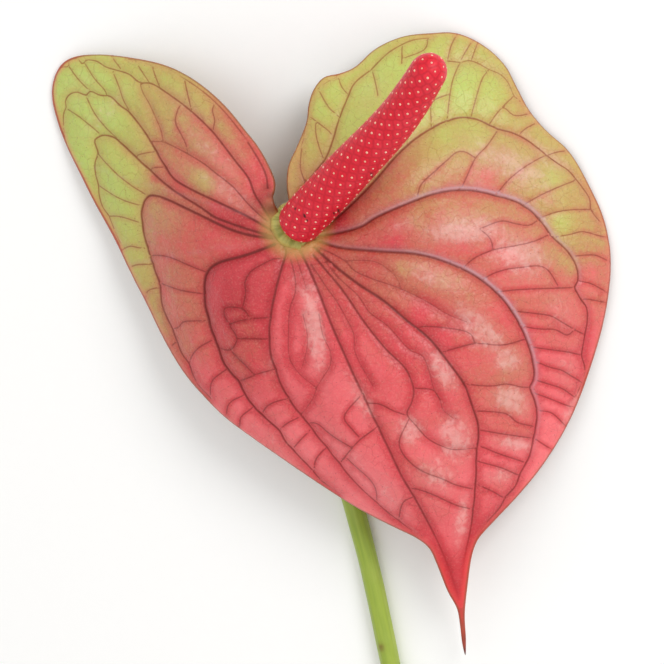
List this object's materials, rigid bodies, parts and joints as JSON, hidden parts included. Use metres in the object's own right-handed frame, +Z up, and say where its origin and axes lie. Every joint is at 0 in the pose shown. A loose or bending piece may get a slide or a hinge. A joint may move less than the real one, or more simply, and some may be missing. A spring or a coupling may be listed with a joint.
{
  "type": "anthurium flower",
  "caption": "Cut anthurium flower lying on its back: a glossy heart-shaped spathe with branching veins, a dotted finger-like spadix, a small green collar and a curved stem.",
  "frame": {"origin": "on the surface the flower lies on, under the middle of its outline seen from above", "axes": "+Z up, away from the surface; +Y from the cut end of the stem towards the back lobes; +X to the right of the spathe's face"},
  "size_m": [0.1364, 0.1994, 0.0539],
  "materials": {
    "spathe_skin": "waxy, glossy plant skin, coral red with green lobes and dark red veins",
    "spadix_florets": "crimson packed florets with cream stigma dots, satin",
    "collar_tissue": "smooth yellow-green plant tissue",
    "stem_skin": "smooth green stem skin, satin"
  },
  "bodies": {
    "root": {"spathe": "spathe_skin", "spadix": "spadix_florets", "collar": "collar_tissue", "stem": "stem_skin"}
  },
  "joints": []
}
